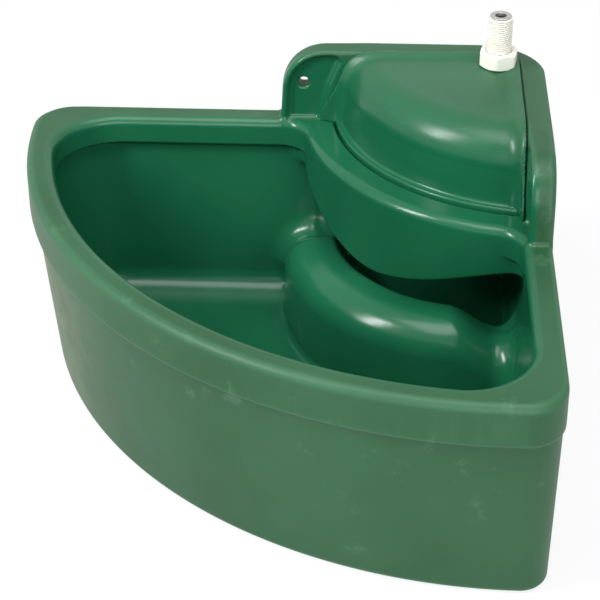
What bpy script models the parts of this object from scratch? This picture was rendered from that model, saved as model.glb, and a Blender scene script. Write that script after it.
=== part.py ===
"""Corner drinking bowl: a quarter-round water bowl with a float valve under a domed cover.

Units are metres, +Z is up, and the origin is the middle of the square footprint, on the base plane.
The bowl is drawn from a datum at the corner of the two walls, level with the top of the rim:
both walls run from it along -X and -Y, and heights below the rim are negative.
"""
import bmesh
import bpy
from math import asin, atan2, cos, hypot, pi, radians, sin, sqrt

MM = 0.001

# Bowl body
SIDE = 440 * MM                  # along each wall
RIM_HEIGHT = 182 * MM            # base to the top of the rim
ARC_OFFSET = 37 * MM             # the front arc's centre, from each wall
ARC_RADIUS = SIDE - ARC_OFFSET
REAR_RADIUS = 53 * MM            # rounding of the vertical corner between the walls
OUTER_CORNER = 30 * MM           # rounding where the front meets each wall
WALL_GAP = 0.5 * MM              # the collar stands this far behind the wings' faces
RIM_WIDTH = 23 * MM
RIM_OUTER_EDGE = 5 * MM          # rounding of the rim's outer edge
RIM_EDGE = 8 * MM                # and of its inner edge
COLLAR_DEPTH = 36 * MM
COLLAR_STEP = 4.5 * MM           # the front's ends stand in this far below the collar
FRONT_TAPER = 15 * MM            # and this far at the base, where the front is also less bowed
BASE_OFFSET = 24 * MM            # centre of the base's front arc, from each wall
SIDE_STEP = 1.5 * MM             # how far the two sides stand in, below the collar and at the base
SIDE_TAPER = 3.5 * MM
BASE_EDGE = 5 * MM
LIP_DEPTH = 24 * MM
INNER_CORNER = 57 * MM           # rounding of the basin's front corners
SKIN = 7 * MM
FLOOR = -172 * MM
FLOOR_COVE = 16 * MM
WALL_UNDER_LIP = 16 * MM         # basin wall, from the building's wall
WALL_AT_FLOOR = 26 * MM

# Apron, passage, and the ridge under it between the basin and the float's chamber
APRON_RADIUS = 204.6 * MM        # about the datum
APRON_SKIN = 8 * MM
APRON_FILLET = 20 * MM           # where the apron's rim sweeps into the straight rims
DEEP_APRON = 165 * MM            # below the hump's top the basin is cut to here, inside the hump
HUMP_TOP = -88 * MM
HUMP_CENTRE = 55.4 * MM          # of its plan, from each wall
HUMP_RADIUS = 163.5 * MM
HUMP_REAR = 118 * MM
HUMP_ROUND = 30 * MM
HUMP_END = 39 * MM               # the hump stops this far from each wall
SADDLE_TOP = -112 * MM           # and a lower saddle joins it to the wall
CHAMBER_FLOOR = -135 * MM
BIB_END = -38 * MM               # apron's lower edge at its ends
BIB_DROP = 36 * MM               # and how much lower it hangs in the middle

# Wings
WING_THICK = 20.5 * MM
WING_TOP = 66 * MM
WING_LENGTH = 227.5 * MM
WING_ROUND = 33 * MM
WING_EDGE = 4.5 * MM
INNER_REAR = 12 * MM
HOLE_ALONG = 204 * MM
HOLE_HEIGHT = 34 * MM
HOLE_RADIUS = 4.5 * MM
HOLE_CHAMFER = 2 * MM
POCKET_DEPTH = 6 * MM            # of the shallow pocket round the hole
POCKET_END = 217 * MM
POCKET_TOP = 57 * MM
POCKET_CORNER = 24 * MM

# Cover
SEAT_DEPTH = 6 * MM
SEAT_RADIUS = 178.5 * MM
MOUTH_RADIUS = 168 * MM
CHAMBER_RADIUS = APRON_RADIUS - APRON_SKIN
CHAMBER_WALL = 21 * MM
COVER_GAP = 0.5 * MM
COVER_FOOT = 177.5 * MM
COVER_FLANK = 169.4 * MM
COVER_SHOULDER = 31 * MM
COVER_THICK = 4.5 * MM
COVER_CROWN = 1.2 * MM
BEAD = 3.4 * MM                  # height of the bead round the cover's foot
FLARE = 13 * MM                  # sweep of the cover's sides into their flanges
FLANGE = 2.2 * MM

# Float valve, heights from the rim
VALVE_AXIS = -39 * MM            # the same along X and Y
TAIL_TOP = 110 * MM
TAIL_RADIUS = 10.48 * MM         # half-inch pipe thread
TAIL_BORE = 6 * MM
SHOULDER_TOP = WING_TOP - COVER_THICK - 2.9 * MM
HEAD_BOTTOM = 4 * MM
CYLINDER_RADIUS = 8 * MM
CYLINDER_TOP = 34 * MM
PIVOT_BACK = 10 * MM             # pivot, from the valve's axis towards the corner
PIVOT_HEIGHT = -5 * MM
ARM_LENGTH = 88 * MM             # pivot to the middle of the ball
ARM_DROP = radians(33.8)         # the arm's slope with the bowl empty
ARM_TRAVEL = radians(22.5)
NOSE_RADIUS = 3 * MM
BALL_RADIUS = 31 * MM
GAP = 0.3 * MM
ARM_RISE = PIVOT_BACK * sin(ARM_TRAVEL / 2)     # half of the piston's travel
PISTON_LOW = PIVOT_HEIGHT - ARM_RISE + NOSE_RADIUS + GAP
PISTON_LENGTH = 20 * MM
PAD_RECESS = 2 * MM
PAD_THICK = 3 * MM
PAD_TOP = PISTON_LOW + PISTON_LENGTH - PAD_RECESS + GAP + PAD_THICK
SEAT_TIP = PAD_TOP + 2 * ARM_RISE + GAP         # the pad stops here with the bowl full

# Drain
DRAIN_AT = -239 * MM
DRAIN_RADIUS = 15 * MM


def material(name, colour, roughness, metallic=0.0):
    """One plain finish."""
    made = bpy.data.materials.new(name)
    made.use_nodes = True
    shader = made.node_tree.nodes["Principled BSDF"]
    shader.inputs["Base Color"].default_value = (*colour, 1.0)
    shader.inputs["Roughness"].default_value = roughness
    shader.inputs["Metallic"].default_value = metallic
    return made


def empty(name, location, turn=0.0, parent=None):
    """A datum that pieces are placed from."""
    made = bpy.data.objects.new(name, None)
    made.location = location
    made.rotation_euler = (0, 0, turn)
    made.parent = parent
    bpy.context.collection.objects.link(made)
    return made


def finish(name, mesh_data, parent, finish_material=None):
    """Turns a bmesh into an object with its faces pointing out, smooth but for its sharp edges."""
    bmesh.ops.recalc_face_normals(mesh_data, faces=mesh_data.faces)
    mesh = bpy.data.meshes.new(name)
    mesh_data.to_mesh(mesh)
    mesh_data.free()
    mesh.shade_smooth()
    mesh.set_sharp_from_angle(angle=radians(35))
    if finish_material:
        mesh.materials.append(finish_material)
    made = bpy.data.objects.new(name, mesh)
    made.parent = parent
    bpy.context.collection.objects.link(made)
    return made


def loft(name, rings, parent, finish_material=None, endless=False):
    """Skins a row of rings of equal length; a ring of one point closes to a pole."""
    mesh_data = bmesh.new()
    rows = [[mesh_data.verts.new(point) for point in ring] for ring in rings]
    pairs = list(zip(rows, rows[1:])) + ([(rows[-1], rows[0])] if endless else [])
    for low, high in pairs:
        count = max(len(low), len(high))
        for index in range(count):
            after = (index + 1) % count
            corners = [low[index % len(low)], low[after % len(low)],
                       high[after % len(high)], high[index % len(high)]]
            mesh_data.faces.new(list(dict.fromkeys(corners)))
    if not endless:
        for cap in (rows[0], rows[-1]):
            if len(cap) > 2:
                mesh_data.faces.new(cap)
    return finish(name, mesh_data, parent, finish_material)


def turned(name, profile, parent, finish_material=None, sides=32, endless=False):
    """Revolves (radius, height) points about the parent's Z; a radius of 0 is a pole."""
    rings = []
    for radius, height in profile:
        if radius == 0:
            rings.append([(0, 0, height)])
            continue
        angles = [2 * pi * step / sides for step in range(sides)]
        rings.append([(radius * cos(a), radius * sin(a), height) for a in angles])
    return loft(name, rings, parent, finish_material, endless)


def extruded(name, outline, low, high, parent, finish_material=None):
    """Extrudes an (x, z) outline along Y from low to high."""
    return loft(name, [[(x, y, z) for x, z in outline] for y in (low, high)], parent, finish_material)


def rod(name, radius, low, high, parent, at=(0, 0), sides=16):
    """A round bar along Y, with its middle at (x, z)."""
    outline = [(at[0] + x, at[1] + z) for x, z in arc(0, 0, radius, 0, 2 * pi, sides + 1)[:-1]]
    return extruded(name, outline, low, high, parent)


def combine(target, tool, operation):
    """Adds or cuts away a tool, which stays in the file as a wire guide."""
    modifier = target.modifiers.new(f"{operation.lower()} {tool.name}", "BOOLEAN")
    modifier.operation = operation
    modifier.solver = "EXACT"
    modifier.object = tool
    tool.hide_render = True
    tool.display_type = "WIRE"


def arc(x, y, radius, start, end, count):
    """Points along an arc, both ends included."""
    angles = [start + (end - start) * step / (count - 1) for step in range(count)]
    return [(x + radius * cos(a), y + radius * sin(a)) for a in angles]


def ease(count):
    """Pairs (out, up) of a quarter round of radius 1, from its foot to its crown."""
    return [(1 - cos(pi / 2 * step / count), sin(pi / 2 * step / count)) for step in range(count + 1)]


def front_half(wall, offset, radius, corner):
    """The plan's two small corners and the large arc between them, anticlockwise."""
    small_y = -wall - corner
    small_x = -offset - sqrt((radius - corner) ** 2 - (small_y + offset) ** 2)
    turn = atan2(small_y + offset, small_x + offset) % (2 * pi)
    other = 3 * pi - turn - pi / 2
    points = arc(small_x, small_y, corner, pi / 2, turn, 7)
    points += arc(-offset, -offset, radius, turn, other, 28)[1:-1]
    return points + arc(small_y, small_x, corner, other, 2 * pi, 7)


def quarter(wall, offset, radius, corner, rear):
    """Quarter-round plan with a rounded corner between its two straight sides."""
    return front_half(wall, offset, radius, corner) + arc(-wall - rear, -wall - rear, rear, 0, pi / 2, 7)


def basin(wall, radius, corner, apron, fillet):
    """The basin's plan: a quarter round less the apron's arc, which fillets into both sides."""
    small_y = -wall - fillet
    small_x = -sqrt((apron + fillet) ** 2 - small_y ** 2)
    lean = atan2(-small_y, -small_x)
    points = front_half(wall, ARC_OFFSET, radius, corner)
    points += arc(small_y, small_x, fillet, 0, pi / 2 - lean, 7)
    points += arc(0, 0, apron, 3 * pi / 2 - lean, pi + lean, 22)[1:-1]
    return points + arc(small_x, small_y, fillet, lean, pi / 2, 7)


def at_height(outline, height):
    """Lifts a plan outline to a height."""
    return [(x, y, height) for x, y in outline]


def build_body(datum, green):
    """The tapered body with its collar and rounded rim, still solid."""
    def ring(front, side, height, offset=ARC_OFFSET):
        return at_height(quarter(WALL_GAP + side, offset, SIDE - offset - front,
                                 OUTER_CORNER - front / 2, REAR_RADIUS - side), height)
    rings = []
    for up, out in ((1, 1), (0.7, 0.3), (0, 0)):
        edge = BASE_EDGE * out
        height = -RIM_HEIGHT + BASE_EDGE * (1 - up)
        rings.append(ring(FRONT_TAPER + edge, SIDE_TAPER + edge, height, BASE_OFFSET))
    rings.append(ring(COLLAR_STEP, SIDE_STEP, -COLLAR_DEPTH - 2.5 * MM))
    rings.append(ring(1.2 * MM, 1.2 * MM, -COLLAR_DEPTH))
    rings.append(ring(0.4 * MM, 0.4 * MM, -COLLAR_DEPTH + 1.5 * MM))
    for out, up in ease(4):
        edge = RIM_OUTER_EDGE * out
        rings.append(ring(edge, edge, -RIM_OUTER_EDGE + RIM_OUTER_EDGE * up))
    return loft("bowl_shell", rings, datum, green)


def basin_levels():
    """(height, wall, rear radius, fillet) from the floor to above the rim."""
    def wall_at(height):
        low, high = FLOOR + FLOOR_COVE, -LIP_DEPTH - 5 * MM
        share = (height - low) / (high - low)
        return WALL_AT_FLOOR + (WALL_UNDER_LIP - WALL_AT_FLOOR) * share
    levels = []
    for out, up in ease(4):
        extra = FLOOR_COVE * (1 - up)
        levels.append((FLOOR + FLOOR_COVE * out, WALL_AT_FLOOR + extra, DEEP_APRON, APRON_FILLET))
    levels.append((HUMP_TOP + 1 * MM, wall_at(HUMP_TOP), DEEP_APRON, APRON_FILLET))
    levels.append((HUMP_TOP + 3 * MM, wall_at(HUMP_TOP), APRON_RADIUS, APRON_FILLET + 6 * MM))
    levels.append((-LIP_DEPTH - 5 * MM, WALL_UNDER_LIP, APRON_RADIUS, APRON_FILLET + 6 * MM))
    levels.append((-LIP_DEPTH - 1.5 * MM, RIM_WIDTH - 1 * MM, APRON_RADIUS, APRON_FILLET + 1 * MM))
    levels.append((-LIP_DEPTH, RIM_WIDTH, APRON_RADIUS, APRON_FILLET))
    for out, up in ease(4):
        grow = RIM_EDGE * out
        levels.append((-RIM_EDGE + RIM_EDGE * up, RIM_WIDTH - grow, APRON_RADIUS - grow, APRON_FILLET + grow))
    levels.append((10 * MM, *levels[-1][1:]))
    return levels


def cut_basin(body, datum):
    """The water's space: walls under a lip, a coved floor, and the apron's curve behind."""
    rings = [at_height(basin(wall, ARC_RADIUS - wall, INNER_CORNER, apron, fillet), height)
             for height, wall, apron, fillet in basin_levels()]
    combine(body, loft("basin_cutter", rings, datum), "DIFFERENCE")


def add_hump(body, datum):
    """The rounded hump in front of the float's chamber, and the lower saddle at each end of it."""
    for name, top, radius, wall, corner in (("saddle", SADDLE_TOP, HUMP_RADIUS - 2 * MM, 10 * MM, 5 * MM),
                                            ("hump", HUMP_TOP, HUMP_RADIUS, HUMP_END, 10 * MM)):
        levels = [(FLOOR - 4 * MM, radius + FLOOR_COVE, 0)]
        levels += [(FLOOR + FLOOR_COVE * out, radius + FLOOR_COVE * (1 - up), 0) for out, up in ease(4)[1:]]
        levels += [(top - HUMP_ROUND * (1 - up), radius - HUMP_ROUND * out, HUMP_ROUND / 4 * out)
                   for out, up in ease(6)]
        rings = [at_height(quarter(wall + inset, HUMP_CENTRE, radius, corner, REAR_RADIUS - 10 * MM), height)
                 for height, radius, inset in levels]
        combine(body, loft(name, rings, datum), "UNION")


def cut_underside(body, datum):
    """The hollow that the moulding leaves open below the hump and the chamber."""
    top = SADDLE_TOP - SKIN
    front = HUMP_RADIUS - SKIN
    levels = [(-RIM_HEIGHT - 8 * MM, 14 * MM, front), (-RIM_HEIGHT + 8 * MM, 13.5 * MM, front),
              (top - 19 * MM, 11 * MM, front), (top - 6 * MM, 12 * MM, front - 6 * MM),
              (top, 17 * MM, front - 19 * MM)]
    rings = [at_height(quarter(wall, HUMP_CENTRE, radius, 16 * MM, REAR_RADIUS - 12 * MM), height)
             for height, wall, radius in levels]
    combine(body, loft("underside_cutter", rings, datum), "DIFFERENCE")
    outer = HUMP_REAR + SKIN
    tub = [at_height(quarter(wall, HUMP_CENTRE, radius, 12 * MM, REAR_RADIUS - wall), height)
           for height, wall, radius in ((CHAMBER_FLOOR - SKIN, 8 * MM, outer - 5 * MM),
                                        (CHAMBER_FLOOR - SKIN + 5 * MM, 7 * MM, outer),
                                        (top + 2 * MM, 6 * MM, outer))]
    combine(body, loft("chamber_tub", tub, datum), "UNION")


def cut_chamber(body, datum):
    """The float's chamber: its well behind the ridge, and above it the seat round its mouth."""
    well = [(CHAMBER_FLOOR, CHAMBER_WALL + 4 * MM, HUMP_REAR - 4 * MM),
            (CHAMBER_FLOOR + 4 * MM, CHAMBER_WALL, HUMP_REAR),
            (HUMP_TOP - 6 * MM, CHAMBER_WALL, HUMP_REAR),
            (HUMP_TOP - 2 * MM, CHAMBER_WALL, HUMP_REAR + 1.5 * MM),
            (HUMP_TOP, CHAMBER_WALL, HUMP_REAR + 5 * MM),
            (HUMP_TOP + 2 * MM, CHAMBER_WALL, HUMP_REAR + 5 * MM)]
    rings = [at_height(quarter(wall, HUMP_CENTRE, radius, 5 * MM, 32 * MM), height)
             for height, wall, radius in well]
    combine(body, loft("well_cutter", rings, datum), "DIFFERENCE")
    ledge = CHAMBER_WALL + 1 * MM
    levels = [(HUMP_TOP + 0.6 * MM, CHAMBER_WALL, CHAMBER_RADIUS, 5 * MM, 32 * MM),
              (-20 * MM, CHAMBER_WALL, CHAMBER_RADIUS, 5 * MM, 24 * MM),
              (-14 * MM, ledge, MOUTH_RADIUS, 6 * MM, INNER_REAR),
              (-SEAT_DEPTH, ledge, MOUTH_RADIUS, 6 * MM, INNER_REAR),
              (-SEAT_DEPTH, CHAMBER_WALL, SEAT_RADIUS, 6 * MM, INNER_REAR),
              (12 * MM, CHAMBER_WALL, SEAT_RADIUS, 6 * MM, INNER_REAR)]
    rings = [at_height(quarter(wall, 0, radius, corner, rear), height)
             for height, wall, radius, corner, rear in levels]
    combine(body, loft("chamber_cutter", rings, datum), "DIFFERENCE")


def cut_passage(body, datum):
    """The gap for water and a tongue under the apron, whose lower edge hangs as a bib."""
    rings = []
    steps = 20
    near, far = CHAMBER_RADIUS - 6 * MM, APRON_RADIUS + 24 * MM
    edge, over = 3 * MM, 2 * MM
    wall = CHAMBER_WALL + 0.4 * MM
    for step in range(steps + 1):
        share = step / steps
        top = BIB_END - BIB_DROP * sin(pi * share) ** 2
        section = [(near, HUMP_TOP + 0.5 * MM), (far, HUMP_TOP + 0.5 * MM), (far, top + edge + over),
                   (APRON_RADIUS + over, top + edge + over), (APRON_RADIUS - edge, top),
                   (CHAMBER_RADIUS + edge, top), (near, top + edge + over)]
        ring = []
        for radius, height in section:
            start = asin(wall / radius)
            angle = pi + start + (pi / 2 - 2 * start) * share
            ring.append((radius * cos(angle), radius * sin(angle), height))
        rings.append(ring)
    combine(body, loft("passage_cutter", rings, datum), "DIFFERENCE")


def wing_plan():
    """(outer point, inner point, distance from the end) along both wings, left end first."""
    ends = [0, 1.5 * MM, WING_EDGE]
    ends += [WING_EDGE + (WING_ROUND - WING_EDGE) * step / 5 for step in range(1, 6)]
    points = [((-WING_LENGTH + s, 0), (-WING_LENGTH + s, -WING_THICK), s) for s in ends]
    bends = zip(arc(-REAR_RADIUS, -REAR_RADIUS, REAR_RADIUS, pi / 2, 0, 8),
                arc(-WING_THICK - INNER_REAR, -WING_THICK - INNER_REAR, INNER_REAR, pi / 2, 0, 8))
    points += [(outer, inner, WING_ROUND) for outer, inner in bends]
    return points + [((oy, ox), (iy, ix), s) for (ox, oy), (ix, iy), s in reversed(points[:len(ends)])]


def add_wings(body, datum):
    """Both wings as one band that turns the corner, rounded along its top and at its two ends."""
    rings = []
    for outer, inner, along in wing_plan():
        thick = hypot(outer[0] - inner[0], outer[1] - inner[1])
        short = max(0.0, WING_EDGE - along)
        pinch = WING_EDGE - sqrt(WING_EDGE ** 2 - short ** 2)
        top = WING_TOP - WING_ROUND + sqrt(WING_ROUND ** 2 - (WING_ROUND - along) ** 2)
        top = max(top, 6 * MM)
        section = [(pinch, -14 * MM), (pinch, top - WING_EDGE),
                   (pinch + WING_EDGE * 0.3, top - WING_EDGE * 0.3), (pinch + WING_EDGE, top)]
        section += [(thick - depth, height) for depth, height in reversed(section)]
        across = ((inner[0] - outer[0]) / thick, (inner[1] - outer[1]) / thick)
        rings.append([(outer[0] + across[0] * depth, outer[1] + across[1] * depth, height)
                      for depth, height in section])
    combine(body, loft("wing_band", rings, datum), "UNION")


def add_ledges(body, datum):
    """A short gusset on each wing that the cover's top rests on."""
    top = WING_TOP - COVER_CROWN - COVER_THICK - GAP
    section = [(-WING_THICK + 2 * MM, top), (-WING_THICK + 2 * MM, top - 9 * MM),
               (-WING_THICK - 1 * MM, top - 8 * MM), (-WING_THICK - 6 * MM, top - 2 * MM),
               (-WING_THICK - 6 * MM, top)]
    for name, swap in (("back_ledge", False), ("side_ledge", True)):
        rings = [[(y, x, z) if swap else (x, y, z) for y, z in section] for x in (-128 * MM, -68 * MM)]
        combine(body, loft(name, rings, datum), "UNION")


def cut_pockets(body, datum):
    """The shallow pocket in each wing, between its rounded end and the cover's flange."""
    outline = [(POCKET_END, 2 * MM)]
    outline += arc(POCKET_END - POCKET_CORNER, POCKET_TOP - POCKET_CORNER, POCKET_CORNER, 0, pi / 2, 8)
    outline += [(172 * MM, POCKET_TOP), (181 * MM, 34 * MM), (189 * MM, 2 * MM)]
    middle = (203 * MM, 30 * MM)
    front, floor = -WING_THICK, -WING_THICK + POCKET_DEPTH
    for name, swap in (("back_pocket", False), ("side_pocket", True)):
        rings = []
        for deep, grow in ((front - 3 * MM, 1.08), (front, 1.0), (floor - 1.5 * MM, 0.96), (floor, 0.9)):
            ring = [(-middle[0] + (middle[0] - x) * grow, middle[1] + (z - middle[1]) * grow)
                    for x, z in outline]
            rings.append([(deep, x, z) if swap else (x, deep, z) for x, z in ring])
        combine(body, loft(name, rings, datum), "DIFFERENCE")


def cut_holes(body, datum):
    """A chamfered fixing hole in the floor of each pocket, and the stepped drain hole."""
    depth = WING_THICK
    wide = HOLE_RADIUS + HOLE_CHAMFER
    profile = [(wide, POCKET_DEPTH - 3 * MM), (wide, POCKET_DEPTH),
               (HOLE_RADIUS, POCKET_DEPTH + HOLE_CHAMFER), (HOLE_RADIUS, depth + 3 * MM)]
    for name, turn, at in (("back_hole", (-pi / 2, 0, 0), (-HOLE_ALONG, -depth, HOLE_HEIGHT)),
                           ("side_hole", (0, pi / 2, 0), (-depth, -HOLE_ALONG, HOLE_HEIGHT))):
        tool = turned(name, profile, datum, sides=20)
        tool.location = at
        tool.rotation_euler = turn
        combine(body, tool, "DIFFERENCE")
    step = FLOOR - 3.5 * MM
    profile = [(DRAIN_RADIUS, -RIM_HEIGHT - 5 * MM), (DRAIN_RADIUS, step), (19.6 * MM, step),
               (19.6 * MM, FLOOR + 5 * MM)]
    tool = turned("drain_hole", profile, datum, sides=28)
    tool.location = (DRAIN_AT, DRAIN_AT, 0)
    combine(body, tool, "DIFFERENCE")


def build_shell(datum, green):
    """The one-piece moulding: body, basin, hump, hollow underside, chamber, passage and wings."""
    body = build_body(datum, green)
    cut_basin(body, datum)
    add_hump(body, datum)
    cut_underside(body, datum)
    cut_chamber(body, datum)
    cut_passage(body, datum)
    add_wings(body, datum)
    add_ledges(body, datum)
    cut_pockets(body, datum)
    cut_holes(body, datum)


def cover_profile(flank, shoulder, top):
    """(radius, height) up the dome: a leaning flank, a round shoulder and a low crown."""
    profile = [(flank - shoulder * out, top - COVER_CROWN - shoulder * (1 - up)) for out, up in ease(6)]
    return profile + [((flank - shoulder) * 0.6, top)]


def flared(wall, radius):
    """The cover's plan where both its sides sweep out into flanges along the wings."""
    small_y = -wall - FLANGE - FLARE
    small_x = -sqrt((radius + FLARE) ** 2 - small_y ** 2)
    lean = atan2(-small_y, -small_x)
    sweep = [(small_x, -wall)] + arc(small_x, small_y, FLARE, pi / 2, lean, 6)
    points = sweep + arc(0, 0, radius, pi + lean, 3 * pi / 2 - lean, 28)[1:-1]
    points += [(y, x) for x, y in reversed(sweep)]
    return points + arc(-wall - INNER_REAR, -wall - INNER_REAR, INNER_REAR, 0, pi / 2, 7)


def build_cover(datum, green):
    """The domed cover: a quarter of a round bun, beaded round its foot and open along the wings."""
    wall = WING_THICK + COVER_GAP + 0.2 * MM
    foot = [(COVER_FOOT, -SEAT_DEPTH + GAP), (COVER_FOOT, BEAD - 1.2 * MM),
            (COVER_FOOT - 1.2 * MM, BEAD - 0.2 * MM), (COVER_FOOT - 3.5 * MM, BEAD)]
    rings = [at_height(quarter(wall, 0, radius, 5 * MM, INNER_REAR), height) for radius, height in foot]
    dome = [(COVER_FOOT - 4.5 * MM, BEAD + 0.2 * MM)] + cover_profile(COVER_FLANK, COVER_SHOULDER, WING_TOP)
    rings += [at_height(flared(wall, radius), height) for radius, height in dome]
    cover = loft("valve_cover", rings, datum, green)
    skirt = COVER_FOOT - COVER_THICK - 1 * MM
    inner = [(skirt, -SEAT_DEPTH - 4 * MM), (skirt, 0)]
    inner += cover_profile(COVER_FLANK - COVER_THICK, COVER_SHOULDER - COVER_THICK, WING_TOP - COVER_THICK)
    rings = [at_height(quarter(wall - 10 * MM, 0, radius, 5 * MM, INNER_REAR), height)
             for radius, height in inner]
    combine(cover, loft("cover_hollow", rings, datum), "DIFFERENCE")
    bore = TAIL_RADIUS + 0.7 * MM
    hole = turned("tail_hole", [(bore, 40 * MM), (bore, 80 * MM)], datum)
    hole.location = (VALVE_AXIS, VALVE_AXIS, 0)
    combine(cover, hole, "DIFFERENCE")


def hexagon_nut(name, bore, flat, low, high, parent, finish_material, phase=0.0, sides=24):
    """A nut along the parent's Z: a turned ring with dished ends, cut to a hexagon."""
    corner = flat / cos(pi / 6)
    dish = (corner - flat) * 0.9
    over, face = corner * 1.01, flat * 0.97
    profile = [(bore + dish / 2, low), (face, low), (over, low + dish), (over, high - dish),
               (face, high), (bore + dish / 2, high), (bore, high - dish / 2), (bore, low + dish / 2)]
    nut = turned(name, profile, parent, finish_material, sides, endless=True)
    plan = arc(0, 0, corner, phase, phase + 2 * pi, 7)[:-1]
    rings = [at_height(plan, height) for height in (low - 5 * MM, high + 5 * MM)]
    combine(nut, loft(f"{name}_hexagon", rings, parent), "INTERSECT")
    return nut


def build_valve_body(axis, white):
    """Threaded tail, shoulder and a cylinder with water windows and two ears for the arm's pin."""
    shoulder = SHOULDER_TOP - 4 * MM
    profile = [(TAIL_BORE, TAIL_TOP), (TAIL_RADIUS - 1 * MM, TAIL_TOP), (TAIL_RADIUS, TAIL_TOP - 1.2 * MM),
               (TAIL_RADIUS, SHOULDER_TOP), (16 * MM, SHOULDER_TOP), (16 * MM, shoulder),
               (13 * MM, shoulder - 2 * MM), (13 * MM, HEAD_BOTTOM + 1 * MM), (12 * MM, HEAD_BOTTOM),
               (CYLINDER_RADIUS, HEAD_BOTTOM), (CYLINDER_RADIUS, CYLINDER_TOP), (TAIL_BORE, CYLINDER_TOP)]
    body = turned("valve_body", profile, axis, white, sides=28, endless=True)
    ear = [(-PIVOT_BACK + 4 * MM, HEAD_BOTTOM + 5 * MM)]
    ear += arc(-PIVOT_BACK, PIVOT_HEIGHT, 4 * MM, 0, -pi, 9)
    ear += [(-PIVOT_BACK - 4 * MM, HEAD_BOTTOM + 5 * MM)]
    ear = [(min(x, -7 * MM) if z > 0 else x, z) for x, z in ear]
    for name, side in (("left_ear", 1), ("right_ear", -1)):
        combine(body, extruded(name, ear, side * 5 * MM, side * 7.7 * MM, axis), "UNION")
    pin_hole = rod("pin_hole", 2.3 * MM, -12 * MM, 12 * MM, axis, at=(-PIVOT_BACK, PIVOT_HEIGHT))
    combine(body, pin_hole, "DIFFERENCE")
    window = [(-1 * MM, 9 * MM), (7 * MM, 9 * MM), (7 * MM, 19 * MM), (-1 * MM, 19 * MM)]
    combine(body, extruded("windows", window, -16 * MM, 16 * MM, axis), "DIFFERENCE")


def build_valve(axis, white, rubber, steel):
    """The valve's fixed pieces, all turned about the tail's axis."""
    build_valve_body(axis, white)
    bore = TAIL_RADIUS + GAP
    hexagon_nut("inlet_back_nut", bore, 15 * MM, WING_TOP + GAP, WING_TOP + 14 * MM, axis, white, radians(35))
    low, high = SHOULDER_TOP + GAP, WING_TOP - COVER_THICK - GAP
    ring = [(bore + GAP, low), (15.5 * MM, low), (15.5 * MM, high), (bore + GAP, high)]
    turned("valve_seal", ring, axis, rubber, sides=28, endless=True)
    nozzle = [(2.5 * MM, SEAT_TIP), (4 * MM, SEAT_TIP), (5 * MM, SEAT_TIP + 3 * MM),
              (7.7 * MM, SEAT_TIP + 3 * MM), (7.7 * MM, CYLINDER_TOP - GAP), (2.5 * MM, CYLINDER_TOP - GAP)]
    turned("valve_seat", nozzle, axis, white, sides=20, endless=True)
    strainer = [(0, 82 * MM), (4.6 * MM, 82 * MM), (5.6 * MM, TAIL_TOP - 1 * MM), (5.6 * MM, TAIL_TOP + GAP),
                (9 * MM, TAIL_TOP + GAP), (9 * MM, TAIL_TOP + 1.3 * MM), (4.8 * MM, TAIL_TOP + 1.3 * MM),
                (3.8 * MM, 83 * MM), (0, 83 * MM)]
    turned("inlet_strainer", strainer, axis, steel, sides=20)


def build_piston(axis, white, rubber):
    """The plunger that the arm's nose lifts, with the rubber disc let into its top."""
    low, top = PISTON_LOW, PISTON_LOW + PISTON_LENGTH
    step = top - 10 * MM
    recess = top - PAD_RECESS
    profile = [(0, low), (4.5 * MM, low), (5 * MM, low + 0.5 * MM), (5 * MM, step), (7.6 * MM, step),
               (7.6 * MM, top), (6.6 * MM, top), (6.6 * MM, recess), (0, recess)]
    turned("piston", profile, axis, white, sides=24)
    pad = PAD_TOP - PAD_THICK
    disc = [(0, pad), (6.3 * MM, pad), (6.3 * MM, PAD_TOP), (0, PAD_TOP)]
    turned("piston_pad", disc, axis, rubber, sides=24)


def build_pin(axis, steel):
    """The headed pin across the ears, and the ring that keeps it in."""
    at = (-PIVOT_BACK, PIVOT_HEIGHT)
    pin = rod("pivot_pin", 2 * MM, -9.5 * MM, 10.5 * MM, axis, at)
    pin.data.materials.append(steel)
    combine(pin, rod("pin_head", 3.2 * MM, -9.8 * MM, -8 * MM, axis, at), "UNION")
    clip = rod("pin_clip", 4 * MM, 8 * MM, 9 * MM, axis, at)
    clip.data.materials.append(steel)
    combine(clip, rod("clip_bore", 2.3 * MM, 7 * MM, 10 * MM, axis, at), "DIFFERENCE")


def build_arm(pivot, white, brass):
    """The lever on its pin: hub, bar, the nose under the piston and a threaded end for the ball."""
    arm = rod("float_arm", 4 * MM, -4.2 * MM, 4.2 * MM, pivot, sides=20)
    arm.data.materials.append(white)
    bar = [(0, -2.5 * MM), (44 * MM, -2.5 * MM), (47 * MM, -1.5 * MM), (47 * MM, 1.5 * MM),
           (44 * MM, 2.5 * MM), (0, 2.5 * MM)]
    combine(arm, extruded("arm_bar", bar, -3.4 * MM, 3.4 * MM, pivot), "UNION")
    rise = ARM_DROP - ARM_TRAVEL / 2
    nose = (PIVOT_BACK * cos(rise), PIVOT_BACK * sin(rise))
    combine(arm, rod("arm_nose", NOSE_RADIUS, -3 * MM, 3 * MM, pivot, nose, sides=20), "UNION")
    stem = turned("arm_stem", [(2.5 * MM, 42 * MM), (2.5 * MM, 65 * MM), (2 * MM, 66 * MM)], pivot, sides=12)
    stem.rotation_euler = (0, pi / 2, 0)
    combine(arm, stem, "UNION")
    combine(arm, rod("hub_bore", 2.3 * MM, -6 * MM, 6 * MM, pivot), "DIFFERENCE")
    build_float(pivot, white, brass)


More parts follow.
